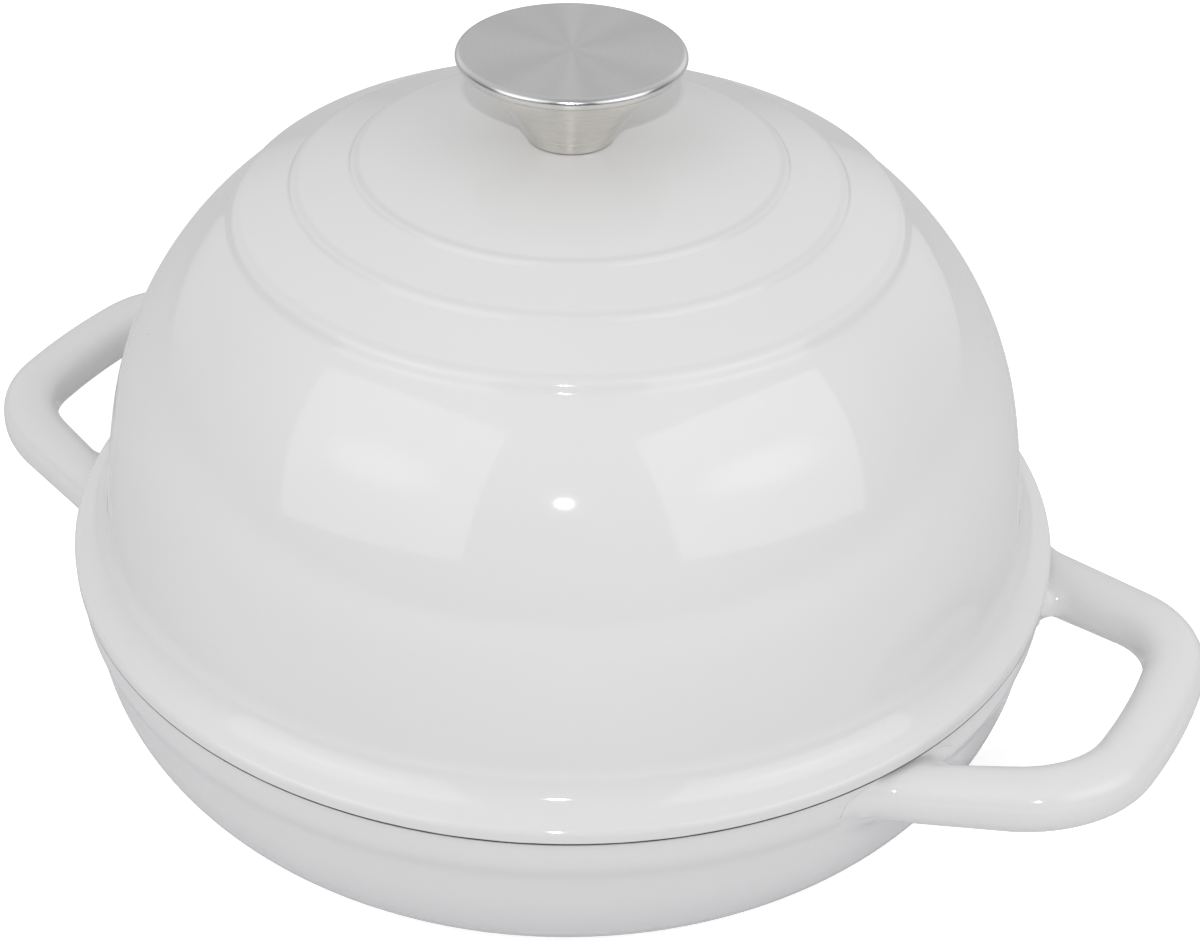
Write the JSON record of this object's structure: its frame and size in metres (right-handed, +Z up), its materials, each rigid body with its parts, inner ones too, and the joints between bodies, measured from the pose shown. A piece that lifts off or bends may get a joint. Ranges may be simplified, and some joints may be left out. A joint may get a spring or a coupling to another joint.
{
  "type": "dutch oven",
  "caption": "Round dutch oven for bread: a shallow enamelled cast-iron pan with loop handles, a tall stepped dome lid and a flared steel knob.",
  "frame": {"origin": "middle of the pan's flat underside, on the pan's axis", "axes": "+Z up along the axis of the pan and the lid; the two handles lie along +X and -X; +Y to the side"},
  "size_m": [0.3472, 0.2604, 0.1936],
  "materials": {
    "pan_enamel": "glossy white vitreous enamel",
    "lid_enamel": "glossy white vitreous enamel",
    "knob_body_steel": "turned and satin brushed round its axis",
    "knob_disc_steel": "brushed round its centre",
    "bush_steel": "turned",
    "screw_steel": "turned",
    "flat_washer_steel": "stamped",
    "spring_washer_steel": "dull"
  },
  "bodies": {
    "base": {"base_pan": "pan_enamel"},
    "lid": {"lid_dome": "lid_enamel", "knob_body": "knob_body_steel", "knob_top_disc": "knob_disc_steel", "knob_threaded_bush": "bush_steel", "knob_screw": "screw_steel", "flat_washer": "flat_washer_steel", "spring_washer": "spring_washer_steel"}
  },
  "joints": [
    {"name": "lid_lift", "type": "slide", "parent": "base", "child": "lid", "axis": [0, 0, 1], "range_m": [0, 0.2]}
  ]
}
